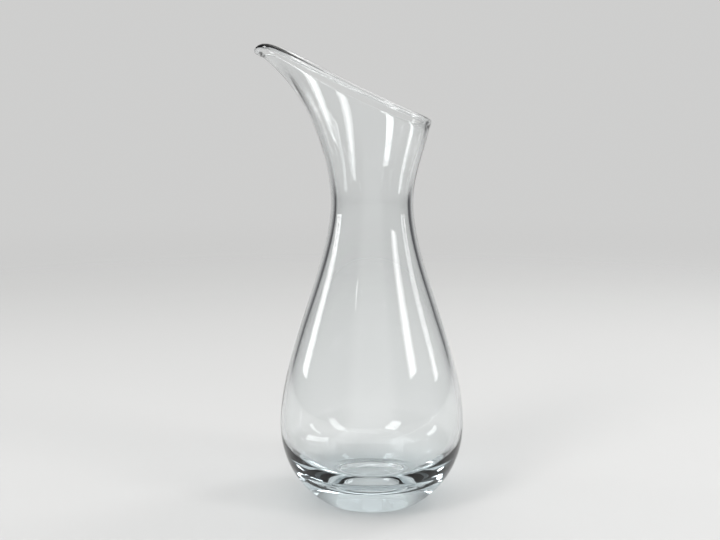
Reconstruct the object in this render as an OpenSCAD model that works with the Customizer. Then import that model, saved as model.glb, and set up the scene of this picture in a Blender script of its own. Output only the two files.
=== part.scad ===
// Carafe of clear glass, blown in one piece: a pear-shaped body, a narrow neck and a trumpet mouth
// that is cut on a slant, so that it has a long spout on one side and a short lip on the other.
// Millimetres, +Z up. The origin is on the axis, on the table. The spout points along -X.

/* [Foot] */
// Outer radius of the flat ring that the carafe stands on
foot_r = 33; // [28:0.5:38]
// Radius that rounds the outer edge of the foot
foot_round = 2; // [0.5:0.5:4]
// Angle above the table at which the base leaves the foot
foot_angle = 36; // [25:1:55]
// Fullness of the base just above the foot
foot_full = 12; // [6:1:20]
// Radius of the hollow under the base
hollow_r = 23; // [14:0.5:27]
// Depth of the hollow under the base
hollow_h = 6; // [0.5:0.1:8]

/* [Body] */
// Radius of the body where it is widest
belly_r = 58.5; // [52:0.5:66]
// Height at which the body is widest
belly_z = 48.5; // [40:0.5:60]
// Fullness of the body below its widest place
belly_low = 27; // [15:1:35]
// Fullness of the body above its widest place
belly_high = 45; // [20:1:60]

/* [Neck] */
// Radius of the neck where it is narrowest
neck_r = 25.7; // [24:0.1:27]
// Height at which the neck is narrowest
neck_z = 190.6; // [182:0.2:198]
// Radius of the bend that the outside makes there, seen from the side
neck_bend = 70; // [45:1:100]

/* [Mouth] */
// Reach of the rim from the axis at the short lip
lip_reach = 36.2; // [34:0.1:40]
// Height of the rim at the short lip
lip_z = 240.3; // [232:0.1:246]
// Angle of the wall from upright at the short lip
lip_angle = 11; // [6:0.5:16]
// Length over which the wall is nearly straight there
lip_full = 18; // [8:1:24]
// Reach of the rim from the axis at the end of the spout
spout_reach = 70.8; // [64:0.2:76]
// Angle of the wall from upright at the end of the spout
spout_angle = 55; // [46:1:60]
// Length over which the wall is nearly straight there
spout_full = 44; // [34:1:46]
// How soon the wall turns upright from the spout towards the sides
spout_narrow = 2; // [1:0.25:4]
// Half of the mouth's width
side_reach = 43; // [40:0.5:48]
// How much wider the mouth is towards the short lip, like the blunt end of an egg
egg = 0.12; // [0:0.02:0.25]

/* [Rim] */
// Angle of the slanted rim above level
rim_angle = 25.4; // [20:0.2:28]
// Depth by which the slanted rim sags below a straight line
rim_sag = 2.6; // [0:0.1:4]
// Depth by which the rim turns down at the end of the spout
spout_drop = 9; // [0:0.5:12]
// How suddenly the rim turns down there
drop_short = 18; // [6:1:24]
// Swell of the fire-polished rim on each side of the wall, at the short lip
lip_swell = 0.3; // [0.1:0.05:0.8]
// The same swell at the end of the spout
spout_swell = 0.9; // [0.1:0.05:1.2]
// Length over which the wall swells into the rim
swell_length = 6; // [3:0.5:10]

/* [Glass] */
// Height of the cavity's floor above the table
floor_z = 16; // [12:0.5:24]
// Width over which the cavity's floor is nearly flat
floor_full = 40; // [20:1:44]
// Height over which the cavity's side is nearly upright, below the widest place
cavity_full = 26; // [6:1:30]
// Wall thickness at the body's widest place
belly_wall = 3; // [2:0.1:5]
// Wall thickness of the neck
neck_wall = 3.4; // [2:0.1:4.5]
// Wall thickness of the mouth at its rim
rim_wall = 2.2; // [1.6:0.1:3]

/* [Hidden] */

glass_colour = "#c9dcdf";
// Steps along each curve of the section, and along the rounded edge of the foot
curve_steps = 20;
edge_steps = 6;
// Facets of the mouth: around it, up each face of its wall, in the swell below the rim, and over the rim
mouth_columns = 72;
mouth_rows = 12;
swell_rows = 4;
rim_rows = 8;
// The mouth is rooted in the body's wall: how deep, and by which share of the wall it stands in from each face
root = 1;
root_inset = 0.01;

function mix(a, b, t) = a + (b - a) * t;
function ease(t) = t * t * (3 - 2 * t);
function unit(v) = v / norm(v);
function bezier(p, t) = pow(1 - t, 3) * p[0] + 3 * pow(1 - t, 2) * t * p[1]
    + 3 * (1 - t) * t * t * p[2] + t * t * t * p[3];
function bezier_slope(p, t) = 3 * pow(1 - t, 2) * (p[1] - p[0]) + 6 * (1 - t) * t * (p[2] - p[1])
    + 3 * t * t * (p[3] - p[2]);
// Length of the first handle of a curve that leaves a line with the given bend, when its second
// handle ends at the given distance from that line
function bend_handle(bend, off) = sqrt(2 / 3 * bend * off);

// Curves of the outside, as radius and height, each smooth into the next
foot_way = [cos(foot_angle), sin(foot_angle)];
base_start = [foot_r, foot_round] + foot_round * [sin(foot_angle), -cos(foot_angle)];
base_curve = [base_start, base_start + foot_full * foot_way,
    [belly_r, belly_z - belly_low], [belly_r, belly_z]];
body_curve = [[belly_r, belly_z], [belly_r, belly_z + belly_high],
    [neck_r, neck_z - bend_handle(neck_bend, belly_r - neck_r)], [neck_r, neck_z]];
// Inside of the thick base, from the middle of the floor up to the widest place
cavity_r = belly_r - belly_wall;
cavity_curve = [[0, floor_z], [floor_full, floor_z], [cavity_r, belly_z - cavity_full], [cavity_r, belly_z]];

// The inside of the body follows the outside at the thickness of the wall
function body_inside(t) = let (along = unit(bezier_slope(body_curve, t)))
    bezier(body_curve, t) + mix(belly_wall, neck_wall, ease(t)) * [-along[1], along[0]];
foot_edge = [for (i = [0 : edge_steps]) let (a = foot_angle * i / edge_steps)
    [foot_r, foot_round] + foot_round * [sin(a), -cos(a)]];
body_section = concat([[0, 0]], foot_edge,
    [for (i = [1 : curve_steps]) bezier(base_curve, i / curve_steps)],
    [for (i = [1 : curve_steps]) bezier(body_curve, i / curve_steps)],
    [for (i = [curve_steps : -1 : 1]) body_inside(i / curve_steps)],
    [for (i = [curve_steps : -1 : 0]) bezier(cavity_curve, i / curve_steps)]);

// The hollow under the base is part of a ball that meets the foot's flat ring at hollow_r
hollow_ball = (hollow_r * hollow_r + hollow_h * hollow_h) / (2 * hollow_h);

// The rim's outer edge, where a is 0 at the short lip and 180 at the end of the spout: an egg seen
// from above, and a sagging slant that turns down at the spout, seen from the side
function towards_spout(a) = (1 - cos(a)) / 2;
function rim(a) = let (u = towards_spout(a), run = (lip_reach + spout_reach) * u)
    [lip_reach - run, side_reach * sin(a) * (1 + egg * cos(a)),
        lip_z + run * tan(rim_angle) - 4 * rim_sag * u * (1 - u) - spout_drop * pow(u, drop_short)];
// Way in which the wall meets the rim, leaning out square to the rim's outline seen from above
function rim_way(a) = let (share = pow(towards_spout(a), spout_narrow), lean = mix(lip_angle, spout_angle, share),
    along = rim(a + 1) - rim(a - 1), out = unit([along[1], -along[0]]))
    [sin(lean) * out[0], sin(lean) * out[1], cos(lean)];
// Each upright line of the mouth's outside is a curve from the neck to the rim
function mouth_curve(a) = let (start = [neck_r * cos(a), neck_r * sin(a), neck_z],
    full = mix(lip_full, spout_full, pow(towards_spout(a), spout_narrow)),
    before_rim = rim(a) - full * rim_way(a),
    off = (before_rim - start) * [cos(a), sin(a), 0])
    [start, start + [0, 0, bend_handle(neck_bend, off)], before_rim, rim(a)];
function outside(a, t) = bezier(mouth_curve(a), t);
function upward(a, t) = unit(bezier_slope(mouth_curve(a), t));
function outward(a, t) = unit(cross(outside(a + 1, t) - outside(a - 1, t), upward(a, t)));
function mouth_wall(t) = mix(neck_wall, rim_wall, ease(t));
// Depth 0 is the outer face of the wall and depth 1 the inner face
function in_wall(a, t, depth) = outside(a, t) - depth * mouth_wall(t) * outward(a, t);

// Share of an upright line that the swell takes up, and the place on the line of each row of points
function swell_share(a) = swell_length / norm(bezier_slope(mouth_curve(a), 1));
function row_place(i, share) = i < mouth_rows
    ? (1 - share) * i / mouth_rows
    : 1 - share * (1 - (i - mouth_rows) / swell_rows);
function face(a, t, depth, swell, share) =
    in_wall(a, t, depth) + (1 - 2 * depth) * swell * ease(max(0, 1 - (1 - t) / share)) * outward(a, t);

// One upright line of points: up the outer face, over the swollen rim and down the inner face
function mouth_line(a) = let (
    swell = mix(lip_swell, spout_swell, towards_spout(a)),
    share = swell_share(a),
    rows = mouth_rows + swell_rows,
    r = rim_wall / 2 + swell,
    centre = in_wall(a, 1, 0.5),
    out = outward(a, 1),
    up = upward(a, 1))
    concat([in_wall(a, 0, root_inset) - [0, 0, root], in_wall(a, 0, root_inset)],
        [for (i = [1 : rows]) face(a, row_place(i, share), 0, swell, share)],
        [for (i = [1 : rim_rows - 1]) let (b = mix(90, -90, i / rim_rows))
            centre + r * (cos(b) * up + sin(b) * out)],
        [for (i = [rows : -1 : 1]) face(a, row_place(i, share), 1, swell, share)],
        [in_wall(a, 0, 1 - root_inset), in_wall(a, 0, 1 - root_inset) - [0, 0, root]]);

module mouth() {
    lines = [for (i = [0 : mouth_columns - 1]) mouth_line(360 * i / mouth_columns)];
    rows = len(lines[0]);
    function at(i, j) = (i % mouth_columns) * rows + j % rows;
    polyhedron([for (line = lines) each line],
        [for (i = [0 : mouth_columns - 1], j = [0 : rows - 1])
            each [[at(i, j), at(i, j + 1), at(i + 1, j + 1)], [at(i, j), at(i + 1, j + 1), at(i + 1, j)]]],
        convexity = 6);
}

module body() {
    difference() {
        rotate_extrude($fn = 180) polygon(body_section);
        translate([0, 0, hollow_h - hollow_ball]) sphere(hollow_ball, $fn = 180);
    }
}

module carafe() {
    color(glass_colour) union() {
        body();
        mouth();
    }
}

carafe();
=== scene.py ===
# Carafe of clear glass: one fine, closed mesh with both faces of its wall, in a plain pale studio
import math

import bpy
import numpy as np
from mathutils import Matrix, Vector


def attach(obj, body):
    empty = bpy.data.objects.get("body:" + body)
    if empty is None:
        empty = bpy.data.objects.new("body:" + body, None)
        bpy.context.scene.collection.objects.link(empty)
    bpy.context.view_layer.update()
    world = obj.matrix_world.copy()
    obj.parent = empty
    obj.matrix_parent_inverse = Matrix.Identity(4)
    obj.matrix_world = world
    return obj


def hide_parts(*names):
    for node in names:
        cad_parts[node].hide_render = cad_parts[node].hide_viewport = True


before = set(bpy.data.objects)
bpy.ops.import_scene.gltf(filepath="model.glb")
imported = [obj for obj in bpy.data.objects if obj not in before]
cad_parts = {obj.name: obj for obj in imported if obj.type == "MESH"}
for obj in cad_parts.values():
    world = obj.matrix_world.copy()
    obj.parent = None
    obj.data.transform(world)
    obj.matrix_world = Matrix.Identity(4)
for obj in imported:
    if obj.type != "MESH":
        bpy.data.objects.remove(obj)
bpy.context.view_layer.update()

# Sizes of the glass in millimetres, the same as those of the solid
FOOT_R = 33.0
FOOT_ROUND = 2.0
FOOT_ANGLE = math.radians(36)
FOOT_FULL = 12.0
HOLLOW_R = 23.0
HOLLOW_H = 6.0
BELLY_R = 58.5
BELLY_Z = 48.5
BELLY_LOW = 27.0
BELLY_HIGH = 45.0
NECK_R = 25.7
NECK_Z = 190.6
NECK_BEND = 70.0
LIP_REACH = 36.2
LIP_Z = 240.3
LIP_ANGLE = math.radians(11)
LIP_FULL = 18.0
SPOUT_REACH = 70.8
SPOUT_ANGLE = math.radians(55)
SPOUT_FULL = 44.0
SPOUT_NARROW = 2.0
SIDE_REACH = 43.0
EGG = 0.12
RIM_ANGLE = math.radians(25.4)
RIM_SAG = 2.6
SPOUT_DROP = 9.0
DROP_SHORT = 18.0
LIP_SWELL = 0.3
SPOUT_SWELL = 0.9
SWELL_LENGTH = 6.0
FLOOR_Z = 16.0
FLOOR_FULL = 40.0
CAVITY_FULL = 26.0
BELLY_WALL = 3.0
NECK_WALL = 3.4
RIM_WALL = 2.2
# Length on each side over which the hollow's edge, which is sharp in the solid, is eased
EDGE_EASE = 1.2

# Points around the glass, and along each stretch of its section
COLUMNS = 240
HOLLOW_ROWS = 14
EDGE_ROWS = 8
BASE_ROWS = 26
BODY_ROWS = 70
MOUTH_ROWS = 48
SWELL_ROWS = 10
RIM_ROWS = 14
MILLIMETRE = 0.001
# The fine mesh bulges out between the corners of the solid's facets, so it is trimmed to stay in its box
TRIM = 0.9995
# Turn around the axis, to each side of a point, over which a slope around the mouth is taken
STEP = math.radians(1)

# The glass, in metres and as linear colours
GLASS_COLOUR = (0.98, 0.99, 0.99, 1)
GLASS_IOR = 1.5
TINT = (0.6, 0.8, 0.87, 1)
TINT_DENSITY = 5.0
RIPPLE_SCALE = 42
RIPPLE_DETAIL = 1
RIPPLE_STRETCH = (1, 1, 0.35)
RIPPLE_STRENGTH = 0.12
RIPPLE_HEIGHT = 0.0012
# The worn ring under the foot: the reach at which it fades out, the scale at which width, depth and
# height count in that reach, and its roughness
WORN_REACH = (0.0258, 0.0268)
WORN_SCALE = (1, 1, 45)
WORN_ROUGHNESS = 0.3
# What shadows let through where light meets the glass squarely, and where it grazes it
SHADOW_SQUARE = (0.76, 0.79, 0.8, 1)
SHADOW_GRAZING = (0.15, 0.17, 0.18, 1)
SHADOW_BLEND = 0.3

# The studio, in metres and as linear colours
FLOOR_REACH = 1.6
FLOOR_FADE = (0.25, FLOOR_REACH * 0.98)
FLOOR_DEPTH = 0.0002
FLOOR_CORNERS = 96
PALE = (0.52, 0.52, 0.517, 1)
PALE_WORLD = (0.62, 0.62, 0.615, 1)
DIM_WORLD = (0.1, 0.1, 0.105, 1)
# Where a mirrored dark panel begins and is full, to each side and downwards, as parts of a unit vector
PANEL_SIDE = (0.3, 0.65)
PANEL_TOP = (0.7, 0.35)
# Each lamp's name, its place, the point that it is turned to, its width and height, and its power in watts
LAMPS = [
    ("key", (-0.75, -0.9, 1.1), (0, 0, 0.12), (0.4, 0.9), 9),
    ("fill", (0.95, -0.55, 0.75), (0, 0, 0.12), (0.25, 0.9), 4),
    ("back", (0.95, 0.55, 0.9), (0, 0, 0.12), (0.35, 0.8), 5),
    ("left_strip", (-1.1, 0.3, 0.44), (0, 0, 0.3), (0.18, 0.6), 2),
    ("right_strip", (1.1, 0.15, 0.5), (0, 0, 0.3), (0.12, 0.7), 1.2),
    ("top", (0, 0, 2.0), (0, 0, 0), (2.2, 2.2), 20),
]
# The camera's place in metres, its tilt up from straight down and its turn to the left, and its lens
CAMERA_PLACE = (0, -0.7446, 0.2741)
CAMERA_TILT = math.radians(90 - 9.66)
CAMERA_TURN = math.radians(0.578)
CAMERA_LENS = 60
CAMERA_SENSOR = 36


def mix(a, b, t):
    return a + (b - a) * t


def ease(t):
    return t * t * (3 - 2 * t)


def unit(v):
    return v / np.linalg.norm(v, axis=-1, keepdims=True)


def bezier(p, t):
    t = np.asarray(t, float)[..., None]
    return (1 - t) ** 3 * p[0] + 3 * (1 - t) ** 2 * t * p[1] + 3 * (1 - t) * t * t * p[2] + t ** 3 * p[3]


def bezier_slope(p, t):
    t = np.asarray(t, float)[..., None]
    return 3 * (1 - t) ** 2 * (p[1] - p[0]) + 6 * (1 - t) * t * (p[2] - p[1]) + 3 * t * t * (p[3] - p[2])


def bend_handle(bend, off):
    """Length of a curve's first handle, on a line that its second handle ends off, for the given bend."""
    return np.sqrt(2 / 3 * bend * off)


# The section of base and body, as pairs of radius and height
BELLY = np.array([BELLY_R, BELLY_Z])
NECK = np.array([NECK_R, NECK_Z])
BASE_WAY = np.array([math.cos(FOOT_ANGLE), math.sin(FOOT_ANGLE)])
BASE_START = np.array([
    FOOT_R + FOOT_ROUND * math.sin(FOOT_ANGLE),
    FOOT_ROUND * (1 - math.cos(FOOT_ANGLE)),
])
BASE_CURVE = np.array([BASE_START, BASE_START + FOOT_FULL * BASE_WAY, BELLY - [0, BELLY_LOW], BELLY])
NECK_HANDLE = bend_handle(NECK_BEND, BELLY_R - NECK_R)
BODY_CURVE = np.array([BELLY, BELLY + [0, BELLY_HIGH], NECK - [0, NECK_HANDLE], NECK])
CAVITY_END = BELLY - [BELLY_WALL, 0]
CAVITY_CURVE = np.array([[0, FLOOR_Z], [FLOOR_FULL, FLOOR_Z], CAVITY_END - [0, CAVITY_FULL], CAVITY_END])
# Radius of the ball that the hollow under the base is part of
HOLLOW_BALL = (HOLLOW_R ** 2 + HOLLOW_H ** 2) / (2 * HOLLOW_H)


def hollow_section():
    """The hollow under the base from its middle outwards, eased into the flat ring around it."""
    r = np.linspace(0, HOLLOW_R - EDGE_EASE, HOLLOW_ROWS)
    ball = np.stack([r, HOLLOW_H - HOLLOW_BALL + np.sqrt(HOLLOW_BALL ** 2 - r ** 2)], -1)
    corner = np.array([HOLLOW_R, 0.0])
    flat = np.array([HOLLOW_R + EDGE_EASE, 0.0])
    eased = bezier([ball[-1], corner, corner, flat], np.linspace(0, 1, EDGE_ROWS)[1:])
    return np.concatenate([ball, eased])


def outer_section():
    """The outside from the middle of the base up to the neck."""
    a = np.linspace(0, FOOT_ANGLE, EDGE_ROWS)
    edge = np.stack([FOOT_R + FOOT_ROUND * np.sin(a), FOOT_ROUND * (1 - np.cos(a))], -1)
    base = bezier(BASE_CURVE, np.linspace(0, 1, BASE_ROWS + 1)[1:])
    body = bezier(BODY_CURVE, np.linspace(0, 1, BODY_ROWS + 1)[1:])
    return np.concatenate([hollow_section(), edge, base, body])


def inner_section():
    """The inside from the neck down to the middle of the cavity's floor."""
    t = np.linspace(1, 0, BODY_ROWS + 1)
    along = unit(bezier_slope(BODY_CURVE, t))
    inward = np.stack([-along[:, 1], along[:, 0]], -1)
    body = bezier(BODY_CURVE, t) + mix(BELLY_WALL, NECK_WALL, ease(t))[:, None] * inward
    base = bezier(CAVITY_CURVE, np.linspace(1, 0, BASE_ROWS + 1)[1:])
    return np.concatenate([body, base])


def towards_spout(a):
    """0 at the short lip, where the turn a around the axis is 0, and 1 at the end of the spout, at pi."""
    return (1 - np.cos(a)) / 2


def rim(a):
    """Outer edge of the rim: an egg from above, and a sagging slant that turns down at the spout."""
    u = towards_spout(a)
    run = (LIP_REACH + SPOUT_REACH) * u
    y = SIDE_REACH * np.sin(a) * (1 + EGG * np.cos(a))
    sag = 4 * RIM_SAG * u * (1 - u)
    z = LIP_Z + run * math.tan(RIM_ANGLE) - sag - SPOUT_DROP * u ** DROP_SHORT
    return np.stack([LIP_REACH - run, y, z], -1)


def mouth_curves(a):
    """The four points of each upright curve of the mouth's outside."""
    share = towards_spout(a) ** SPOUT_NARROW
    lean = mix(LIP_ANGLE, SPOUT_ANGLE, share)
    along = rim(a + STEP) - rim(a - STEP)
    out = unit(np.stack([along[:, 1], -along[:, 0]], -1))
    way = np.stack([np.sin(lean) * out[:, 0], np.sin(lean) * out[:, 1], np.cos(lean)], -1)
    start = np.stack([NECK_R * np.cos(a), NECK_R * np.sin(a), np.full_like(a, NECK_Z)], -1)
    before_rim = rim(a) - mix(LIP_FULL, SPOUT_FULL, share)[:, None] * way
    off = np.sum((before_rim - start)[:, :2] * np.stack([np.cos(a), np.sin(a)], -1), -1)
    handle = np.stack([0 * a, 0 * a, bend_handle(NECK_BEND, off)], -1)
    return np.stack([start, start + handle, before_rim, rim(a)])


def outside(a, t):
    """Points on the mouth's outside, where t is 0 at the neck and 1 at the rim."""
    return bezier(mouth_curves(a), t)


def facing(a, t):
    """Unit vectors up along the mouth's outside and square out of it."""
    up = unit(bezier_slope(mouth_curves(a), t))
    out = unit(np.cross(outside(a + STEP, t) - outside(a - STEP, t), up))
    return up, out


def in_wall(a, t, depth):
    """Points in the mouth's wall, where depth is 0 at its outer face and 1 at its inner face."""
    wall = mix(NECK_WALL, RIM_WALL, ease(t))
    return outside(a, t) - depth * wall[:, None] * facing(a, t)[1]


def mouth_rows(a):
    """Rows of points up the mouth's outer face, over its swollen rim and down its inner face."""
    end = np.ones_like(a)
    swell = mix(LIP_SWELL, SPOUT_SWELL, towards_spout(a))
    up, out = facing(a, end)
    centre = in_wall(a, end, 0.5)
    swell_share = SWELL_LENGTH / np.linalg.norm(bezier_slope(mouth_curves(a), end), axis=-1)
    faces = {0: [], 1: []}
    low = np.linspace(0, 1, MOUTH_ROWS + 1)[1:, None] * (1 - swell_share)
    high = 1 - np.linspace(1, 0, SWELL_ROWS + 1)[1:, None] * swell_share
    for t in np.concatenate([low, high]):
        bulge = swell * ease(np.clip(1 - (1 - t) / swell_share, 0, 1))
        for depth, rows in faces.items():
            rows.append(in_wall(a, t, depth) + (1 - 2 * depth) * bulge[:, None] * facing(a, t)[1])
    r = RIM_WALL / 2 + swell
    turns = np.linspace(math.pi / 2, -math.pi / 2, RIM_ROWS + 1)[1:-1]
    over = [centre + r[:, None] * (math.cos(b) * up + math.sin(b) * out) for b in turns]
    return faces[0] + over + faces[1][::-1]


def turned(section, a):
    """Rows of points around the axis for a section of radius and height."""
    return [np.stack([r * np.cos(a), r * np.sin(a), np.full_like(a, z)], -1) for r, z in section]


def glass_mesh(name):
    """One closed mesh of the glass: two poles, and rows of points between them."""
    a = np.linspace(0, 2 * math.pi, COLUMNS, endpoint=False)
    outer = outer_section()
    inner = inner_section()
    rows = turned(outer[1:], a) + mouth_rows(a) + turned(inner[:-1], a)
    first_pole = [[0, 0, outer[0][1]]]
    last_pole = [[0, 0, inner[-1][1]]]
    points = np.concatenate([first_pole, *rows, last_pole]) * MILLIMETRE * TRIM
    last = len(points) - 1
    faces = []
    for j in range(COLUMNS):
        k = (j + 1) % COLUMNS
        faces.append((0, 1 + k, 1 + j))
        for i in range(len(rows) - 1):
            low = 1 + i * COLUMNS
            high = low + COLUMNS
            faces.append((low + j, low + k, high + k, high + j))
        faces.append((last, last - COLUMNS + j, last - COLUMNS + k))
    mesh = bpy.data.meshes.new(name)
    mesh.from_pydata(points.tolist(), [], faces)
    mesh.validate()
    mesh.shade_smooth()
    return mesh


def empty_tree(owner):
    """The node tree of a material or world, with nothing in it."""
    owner.use_nodes = True
    owner.node_tree.nodes.clear()
    return owner.node_tree


def add_node(tree, kind, values=None, **fields):
    """A shader node of a kind. Its fields are set first, because they decide which sockets it has."""
    node = tree.nodes.new("ShaderNode" + kind)
    for field, value in fields.items():
        setattr(node, field, value)
    for socket, value in (values or {}).items():
        node.inputs[socket].default_value = value
    return node


def glass_material():
    """Clear blown glass: faint ripples, a worn foot, and a tint that shows only where it is thick."""
    mat = bpy.data.materials.new("carafe_glass")
    tree = empty_tree(mat)
    link = tree.links.new
    output = add_node(tree, "OutputMaterial")
    looks = {"Base Color": GLASS_COLOUR, "IOR": GLASS_IOR, "Transmission Weight": 1.0}
    shader = add_node(tree, "BsdfPrincipled", looks)
    place = add_node(tree, "TexCoord")
    # Ripples that were left by blowing, drawn out along the height
    stretch = add_node(tree, "Mapping", {"Scale": RIPPLE_STRETCH})
    ripples = add_node(tree, "TexNoise", {"Scale": RIPPLE_SCALE, "Detail": RIPPLE_DETAIL})
    bump = add_node(tree, "Bump", {"Strength": RIPPLE_STRENGTH, "Distance": RIPPLE_HEIGHT})
    link(place.outputs["Object"], stretch.inputs["Vector"])
    link(stretch.outputs["Vector"], ripples.inputs["Vector"])
    link(ripples.outputs["Fac"], bump.inputs["Height"])
    link(bump.outputs["Normal"], shader.inputs["Normal"])
    # The narrow ring that it stands on is rubbed dull by tables, and nothing else is
    apart = add_node(tree, "VectorMath", {1: WORN_SCALE}, operation="MULTIPLY")
    reach = add_node(tree, "VectorMath", operation="LENGTH")
    ends = {"From Min": WORN_REACH[0], "From Max": WORN_REACH[1], "To Min": WORN_ROUGHNESS, "To Max": 0.0}
    worn = add_node(tree, "MapRange", ends)
    link(place.outputs["Object"], apart.inputs[0])
    link(apart.outputs["Vector"], reach.inputs[0])
    link(reach.outputs["Value"], worn.inputs["Value"])
    link(worn.outputs["Result"], shader.inputs["Roughness"])
    # Lamps shine through the glass, less where they graze it, so its shadow is light with darker edges
    edge = add_node(tree, "LayerWeight", {"Blend": SHADOW_BLEND})
    shade = add_node(tree, "ValToRGB")
    shade.color_ramp.elements[0].color = SHADOW_SQUARE
    shade.color_ramp.elements[1].color = SHADOW_GRAZING
    clear = add_node(tree, "BsdfTransparent")
    rays = add_node(tree, "LightPath")
    both = add_node(tree, "MixShader")
    link(edge.outputs["Facing"], shade.inputs["Fac"])
    link(shade.outputs["Color"], clear.inputs["Color"])
    link(rays.outputs["Is Shadow Ray"], both.inputs["Fac"])
    link(shader.outputs["BSDF"], both.inputs[1])
    link(clear.outputs["BSDF"], both.inputs[2])
    tint = add_node(tree, "VolumeAbsorption", {"Color": TINT, "Density": TINT_DENSITY})
    link(both.outputs["Shader"], output.inputs["Surface"])
    link(tint.outputs["Volume"], output.inputs["Volume"])
    return mat


def add_object(name, data):
    ob = bpy.data.objects.new(name, data)
    bpy.context.scene.collection.objects.link(ob)
    return ob


def add_glass():
    """The glass, which stands for the solid."""
    glass = add_object("carafe_glass", glass_mesh("carafe_glass"))
    glass.data.materials.append(glass_material())
    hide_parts("carafe")
    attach(glass, "root")


def floor_material():
    """Matt and pale, and fading out into the world with the distance from the middle."""
    mat = bpy.data.materials.new("floor")
    tree = empty_tree(mat)
    link = tree.links.new
    output = add_node(tree, "OutputMaterial")
    matt = add_node(tree, "BsdfDiffuse", {"Color": PALE})
    clear = add_node(tree, "BsdfTransparent")
    place = add_node(tree, "TexCoord")
    reach = add_node(tree, "VectorMath", operation="LENGTH")
    ends = {"From Min": FLOOR_FADE[0], "From Max": FLOOR_FADE[1]}
    fade = add_node(tree, "MapRange", ends, interpolation_type="SMOOTHERSTEP")
    both = add_node(tree, "MixShader")
    link(place.outputs["Object"], reach.inputs[0])
    link(reach.outputs["Value"], fade.inputs["Value"])
    link(fade.outputs["Result"], both.inputs["Fac"])
    link(matt.outputs["BSDF"], both.inputs[1])
    link(clear.outputs["BSDF"], both.inputs[2])
    link(both.outputs["Shader"], output.inputs["Surface"])
    return mat


def add_floor():
    """A round floor with no visible edge, a hair below the foot."""
    a = np.linspace(0, 2 * math.pi, FLOOR_CORNERS, endpoint=False)
    points = np.stack([FLOOR_REACH * np.cos(a), FLOOR_REACH * np.sin(a), 0 * a], -1)
    mesh = bpy.data.meshes.new("floor")
    mesh.from_pydata(points.tolist(), [], [tuple(range(FLOOR_CORNERS))])
    mesh.materials.append(floor_material())
    ob = add_object("floor", mesh)
    ob.location = (0, 0, -FLOOR_DEPTH)


def add_lamp(name, place, aim, size, power):
    """A soft rectangular lamp at a place, turned to a point that it lights."""
    lamp = bpy.data.lights.new(name, "AREA")
    lamp.shape = "RECTANGLE"
    lamp.size = size[0]
    lamp.size_y = size[1]
    lamp.energy = power
    ob = add_object(name, lamp)
    ob.location = place
    ob.rotation_euler = (Vector(aim) - Vector(place)).to_track_quat("-Z", "Y").to_euler()


def add_world():
    """A pale world. Reflections also find a dark panel on each side in it, which gives glass dark edges."""
    world = bpy.data.worlds.new("studio")
    tree = empty_tree(world)
    link = tree.links.new
    output = add_node(tree, "OutputWorld")
    back = add_node(tree, "Background")
    place = add_node(tree, "TexCoord")
    parts = add_node(tree, "SeparateXYZ")
    side = add_node(tree, "Math", operation="ABSOLUTE")
    side_ends = {"From Min": PANEL_SIDE[0], "From Max": PANEL_SIDE[1]}
    dark = add_node(tree, "MapRange", side_ends, interpolation_type="SMOOTHSTEP")
    top_ends = {"From Min": PANEL_TOP[0], "From Max": PANEL_TOP[1]}
    low = add_node(tree, "MapRange", top_ends, interpolation_type="SMOOTHSTEP")
    panel = add_node(tree, "Math", operation="MULTIPLY")
    rays = add_node(tree, "LightPath")
    mirrored = add_node(tree, "Math", operation="MULTIPLY", use_clamp=True)
    blend = add_node(tree, "Mix", {"A": PALE_WORLD, "B": DIM_WORLD}, data_type="RGBA")
    link(place.outputs["Generated"], parts.inputs["Vector"])
    link(parts.outputs["X"], side.inputs[0])
    link(side.outputs["Value"], dark.inputs["Value"])
    link(parts.outputs["Z"], low.inputs["Value"])
    link(dark.outputs["Result"], panel.inputs[0])
    link(low.outputs["Result"], panel.inputs[1])
    link(panel.outputs["Value"], mirrored.inputs[0])
    link(rays.outputs["Glossy Depth"], mirrored.inputs[1])
    link(mirrored.outputs["Value"], blend.inputs["Factor"])
    link(blend.outputs["Result"], back.inputs["Color"])
    link(back.outputs["Background"], output.inputs["Surface"])
    bpy.context.scene.world = world


def add_camera():
    """The camera at the photograph's viewing angle."""
    cam = bpy.data.cameras.new("camera")
    cam.sensor_width = CAMERA_SENSOR
    cam.lens = CAMERA_LENS
    ob = add_object("camera", cam)
    ob.location = CAMERA_PLACE
    ob.rotation_euler = (CAMERA_TILT, 0, CAMERA_TURN)
    bpy.context.scene.camera = ob


add_glass()
add_floor()
for lamp in LAMPS:
    add_lamp(*lamp)
add_world()
add_camera()
bpy.context.scene.view_settings.view_transform = "Standard"
